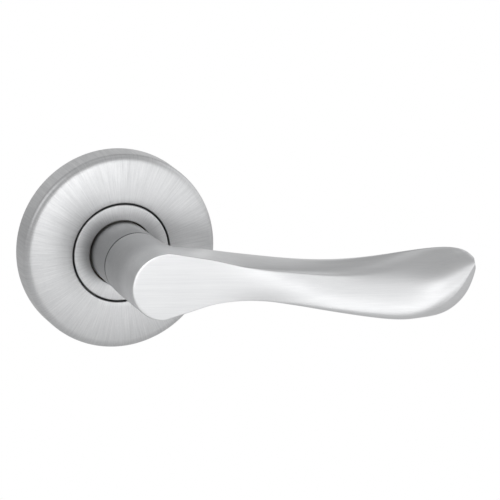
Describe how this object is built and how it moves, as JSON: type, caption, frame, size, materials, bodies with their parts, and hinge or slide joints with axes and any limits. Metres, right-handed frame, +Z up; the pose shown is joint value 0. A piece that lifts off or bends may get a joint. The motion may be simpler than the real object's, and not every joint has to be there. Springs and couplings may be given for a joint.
{
  "type": "lever handle lockset",
  "caption": "Lever door handle on a round rose for one side of a door: sprung turning neck, wave-shaped lever, square spindle and through bolts.",
  "frame": {"origin": "on the spindle's axis, in the plane of the door's face", "axes": "+X along the lever to its tip, -Y out of the door towards the user, +Z up"},
  "size_m": [0.1403, 0.1122, 0.065],
  "materials": {
    "satin_stainless": "satin brushed: radial on the rose and disc, along the lever",
    "zinc_casting": "as-cast grey zinc alloy",
    "plated_steel": "bright zinc plate",
    "spring_steel": "oiled spring steel",
    "sintered_bronze": "sintered bronze",
    "nylon": "natural nylon"
  },
  "bodies": {
    "rose": {"rose_cover": "satin_stainless", "centre_disc": "satin_stainless", "base_plate": "zinc_casting", "cover_clip_1": "spring_steel", "cover_clip_2": "spring_steel", "cover_clip_3": "spring_steel", "clip_rivet_1": "spring_steel", "clip_rivet_2": "spring_steel", "clip_rivet_3": "spring_steel", "bearing_bush": "sintered_bronze", "spring_cage": "plated_steel", "cage_screw_upper": "plated_steel", "cage_screw_lower": "plated_steel", "stop_pin_left": "plated_steel", "stop_pin_right": "plated_steel", "return_spring": "spring_steel", "through_bolt_left": "plated_steel", "through_bolt_right": "plated_steel"},
    "lever_set": {"lever": "satin_stainless", "neck_collar": "satin_stainless", "slip_washer": "nylon", "drive_cam": "plated_steel", "wave_washer": "spring_steel", "circlip": "spring_steel", "spindle": "plated_steel", "grub_screw": "plated_steel"}
  },
  "joints": [
    {"name": "lever_turn", "type": "hinge", "parent": "rose", "child": "lever_set", "pos_m": [0, 0, 0], "axis": [0, 1, 0], "range_deg": [-45, 45], "stiffness_Nm_per_rad": 1.8, "springref_deg": -2.41, "deforming": ["return_spring"]}
  ]
}
